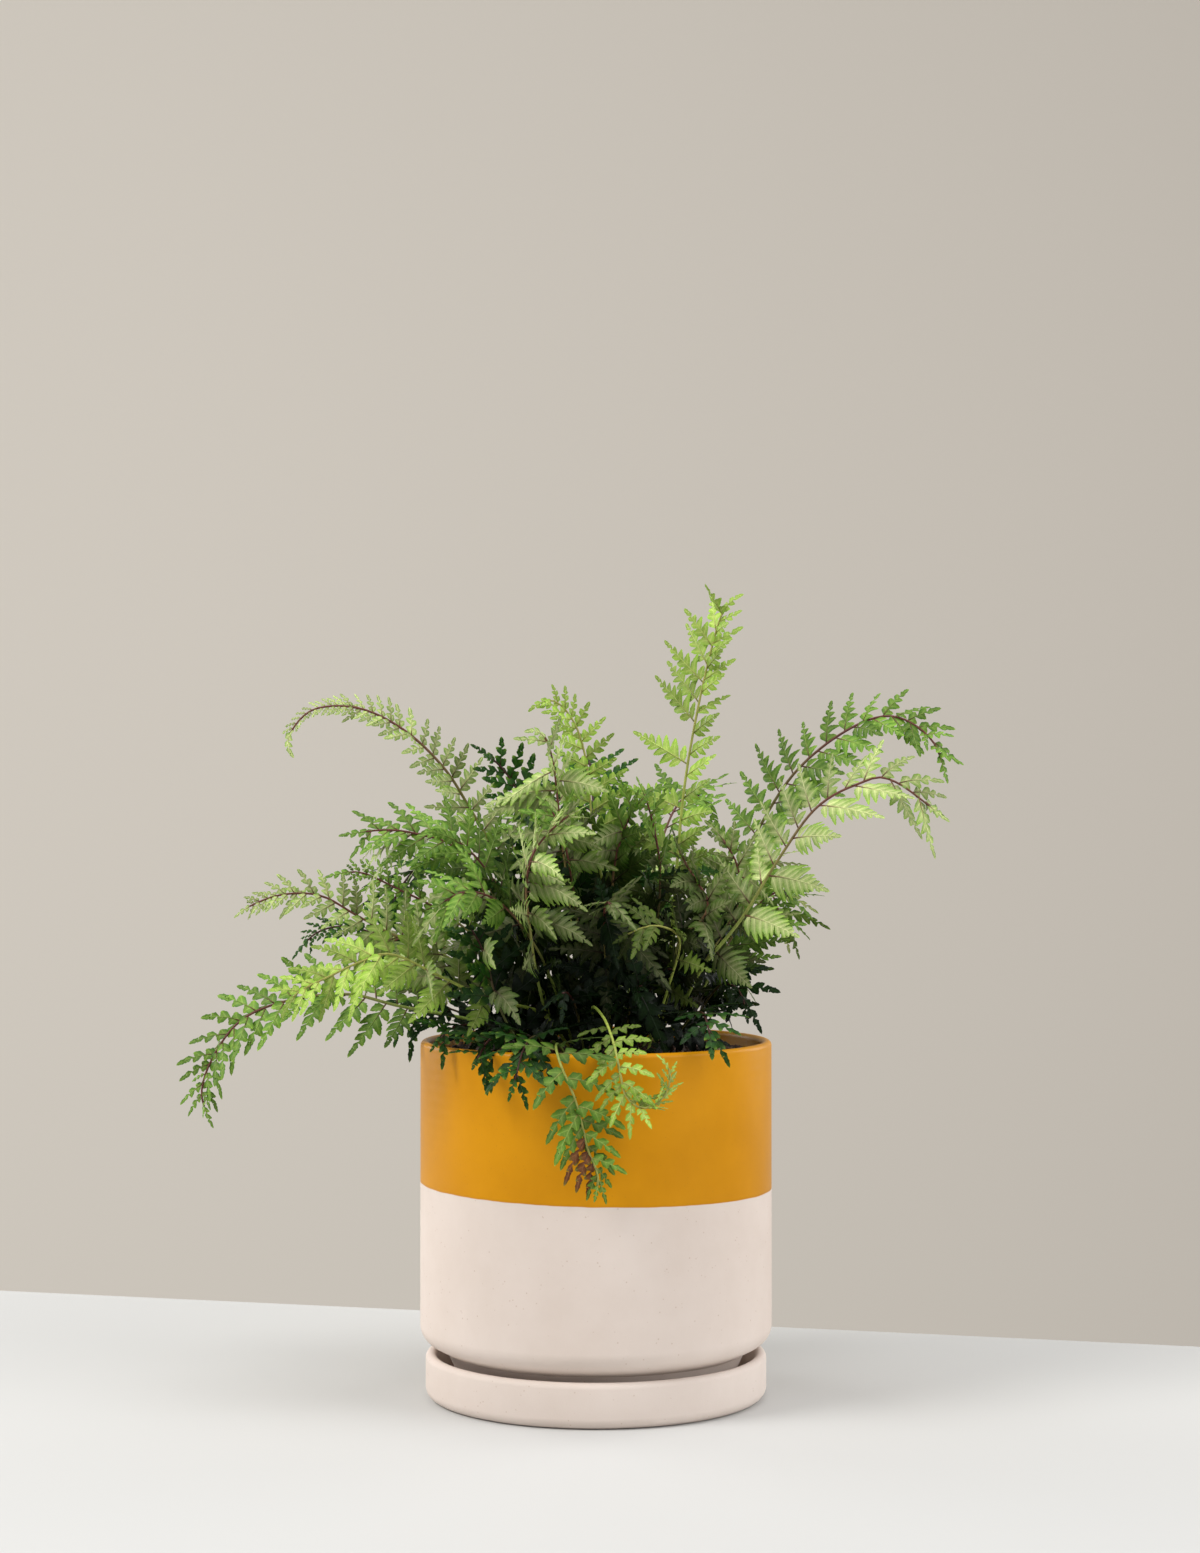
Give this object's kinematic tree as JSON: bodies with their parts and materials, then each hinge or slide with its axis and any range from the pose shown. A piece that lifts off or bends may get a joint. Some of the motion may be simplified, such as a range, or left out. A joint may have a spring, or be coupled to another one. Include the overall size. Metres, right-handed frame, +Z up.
{
  "type": "potted japanese painted fern",
  "caption": "Fern with arching, finely cut silvery green fronds, growing in a two-tone cylindrical clay pot on a round saucer.",
  "frame": {"origin": "centre of the saucer's flat underside, on the surface that the plant stands on", "axes": "+Z up along the pot's axis; -Y towards the front, the side that the picture shows; +X to its right"},
  "size_m": [0.3908, 0.3006, 0.4045],
  "materials": {
    "saucer": "matte",
    "pot": "satin",
    "soil": "matte",
    "leaf_lime": "satin",
    "leaf_silver": "satin",
    "leaf_green": "satin",
    "leaf_dark": "satin"
  },
  "bodies": {
    "root": {"saucer": "saucer", "pot": "pot", "soil": "soil", "frond_tall": "leaf_lime", "frond_right_arch": "leaf_green", "frond_right_silver": "leaf_silver", "frond_right_low": "leaf_silver", "frond_left_arch": "leaf_silver", "frond_left_middle": "leaf_green", "frond_left_long": "leaf_silver", "frond_left_small": "leaf_green", "frond_left_dark": "leaf_dark", "frond_left_droop": "leaf_green", "frond_left_lime": "leaf_lime", "frond_front_left": "leaf_dark", "frond_centre_front": "leaf_silver", "frond_top_light": "leaf_lime", "frond_top_silver": "leaf_silver", "frond_top_dark": "leaf_dark", "frond_centre_right": "leaf_green", "frond_centre_low": "leaf_silver", "frond_right_lime": "leaf_lime", "frond_front_droop": "leaf_green", "frond_front_curl": "leaf_lime", "frond_low_left": "leaf_dark", "frond_rim_left": "leaf_dark", "frond_rim_front": "leaf_dark", "frond_rim_middle": "leaf_dark", "frond_rim_right": "leaf_dark", "frond_low_right": "leaf_dark", "frond_bush_left": "leaf_green", "frond_bush_front": "leaf_green", "frond_bush_middle": "leaf_green", "frond_bush_right": "leaf_green", "frond_wine": "leaf_silver", "frond_inner_left": "leaf_dark", "frond_inner_middle": "leaf_dark", "frond_inner_right": "leaf_dark", "frond_right_back": "leaf_green", "frond_back_1": "leaf_green", "frond_back_2": "leaf_silver", "frond_back_3": "leaf_dark", "frond_back_4": "leaf_green", "frond_back_5": "leaf_silver", "frond_back_6": "leaf_dark", "frond_back_7": "leaf_green", "frond_back_8": "leaf_silver"}
  },
  "joints": []
}
